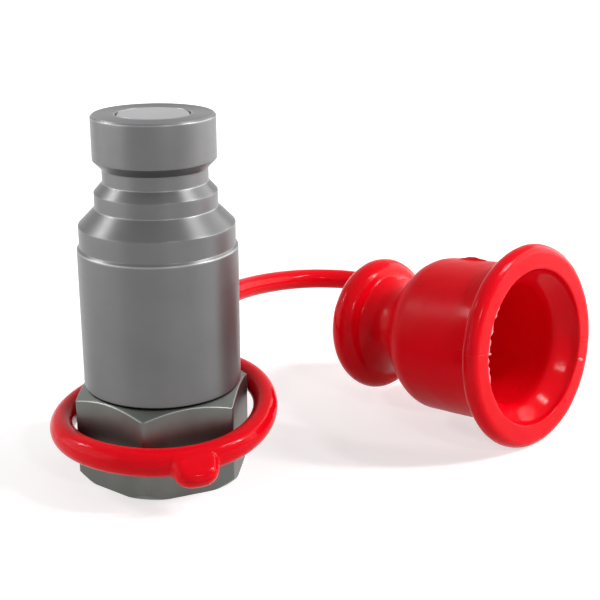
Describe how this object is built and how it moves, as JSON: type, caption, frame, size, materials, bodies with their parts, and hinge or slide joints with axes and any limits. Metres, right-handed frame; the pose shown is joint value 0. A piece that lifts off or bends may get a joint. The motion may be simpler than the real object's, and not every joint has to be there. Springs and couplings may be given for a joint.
{
  "type": "flat face hydraulic quick coupler",
  "caption": "Male flat face hydraulic quick coupler: steel nose and body with a flush spring-loaded poppet, hexagonal threaded rear, and a soft dust cap tethered to a ring.",
  "frame": {"origin": "on the coupler's axis, at the bottom face of the hexagon that it stands on", "axes": "+Z along the coupler axis towards the nose; the dust cap lies on the +X side and the tether arches on the +Y side"},
  "size_m": [0.1183, 0.1143, 0.0748],
  "materials": {
    "body_steel": "turned and plated, satin",
    "hexagon_steel": "drawn hexagon bar, plated, satin",
    "face_steel": "fine turned, bright",
    "valve_steel": "turned, satin",
    "spring_steel": "drawn wire, dull",
    "seal_rubber": "matt black nitrile",
    "backup_plastic": "white fluoroplastic",
    "cap_vinyl": "soft moulded vinyl, satin gloss"
  },
  "bodies": {
    "coupler": {"nipple_body": "body_steel", "rear_adapter": "hexagon_steel", "return_spring": "spring_steel", "valve_guide": "valve_steel", "guide_retaining_ring": "spring_steel", "adapter_o_ring": "seal_rubber", "adapter_backup_ring": "backup_plastic"},
    "poppet": {"poppet_face": "face_steel", "poppet_stem": "valve_steel", "poppet_o_ring": "seal_rubber", "poppet_backup_ring": "backup_plastic"},
    "cap_and_tether": {"dust_cap": "cap_vinyl", "tether_cord": "cap_vinyl", "tether_ring": "cap_vinyl"}
  },
  "joints": [
    {"name": "poppet_slide", "type": "slide", "parent": "coupler", "child": "poppet", "axis": [0, 0, -1], "range_m": [0, 0.009], "stiffness_N_per_m": 3400, "springref_m": -0.01, "deforming": ["return_spring"]},
    {"name": "ring_swivel", "type": "hinge", "parent": "coupler", "child": "cap_and_tether", "pos_m": [0, 0, 0], "axis": [0, 0, 1], "continuous": true}
  ]
}
